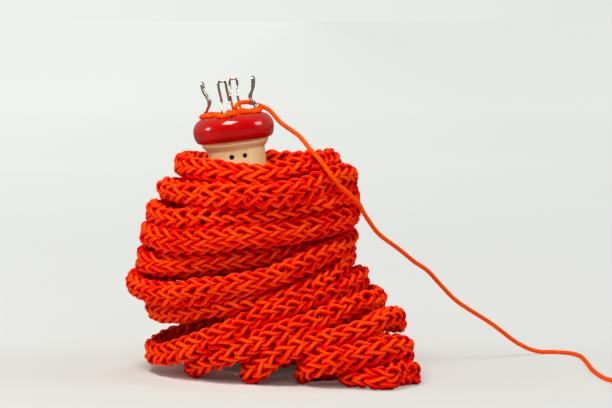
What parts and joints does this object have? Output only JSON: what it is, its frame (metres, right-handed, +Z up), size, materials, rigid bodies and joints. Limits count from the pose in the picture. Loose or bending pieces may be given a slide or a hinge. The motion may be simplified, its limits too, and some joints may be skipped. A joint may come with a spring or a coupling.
{
  "type": "knitting nancy",
  "caption": "Mushroom-shaped wooden spool knitter with bent wire hooks, standing in its own knitted cord, which is wound round it, with the working yarn led off to a tied coil.",
  "frame": {"origin": "point of the flat underside of the inner winding, on the table, below the foot of the nancy", "axes": "+Z up, -Y towards the side with the eyes, +X to the right as the eyes are seen"},
  "size_m": [0.2839, 0.1351, 0.1535],
  "materials": {
    "lacquered_wood": "clear gloss lacquer",
    "red_lacquer": "high-gloss red lacquer",
    "plated_wire": "bright plated wire",
    "orange_yarn": "plied yarn"
  },
  "bodies": {
    "winding": {"inner_winding": "orange_yarn", "knitted_winding": "orange_yarn", "knitted_tube": "orange_yarn", "working_yarn": "orange_yarn", "yarn_coil": "orange_yarn", "coil_tie": "orange_yarn"},
    "nancy": {"turned_body": "lacquered_wood", "cap": "red_lacquer", "hook_front": "plated_wire", "hook_back": "plated_wire", "hook_left": "plated_wire", "hook_right": "plated_wire", "stitch_front": "orange_yarn", "stitch_back": "orange_yarn", "stitch_left": "orange_yarn", "stitch_right": "orange_yarn", "yarn_lead": "orange_yarn"}
  },
  "joints": [
    {"name": "nancy_lift", "type": "slide", "parent": "winding", "child": "nancy", "axis": [-0.1236, 0, 0.9923], "range_m": [0, 0.04]}
  ]
}
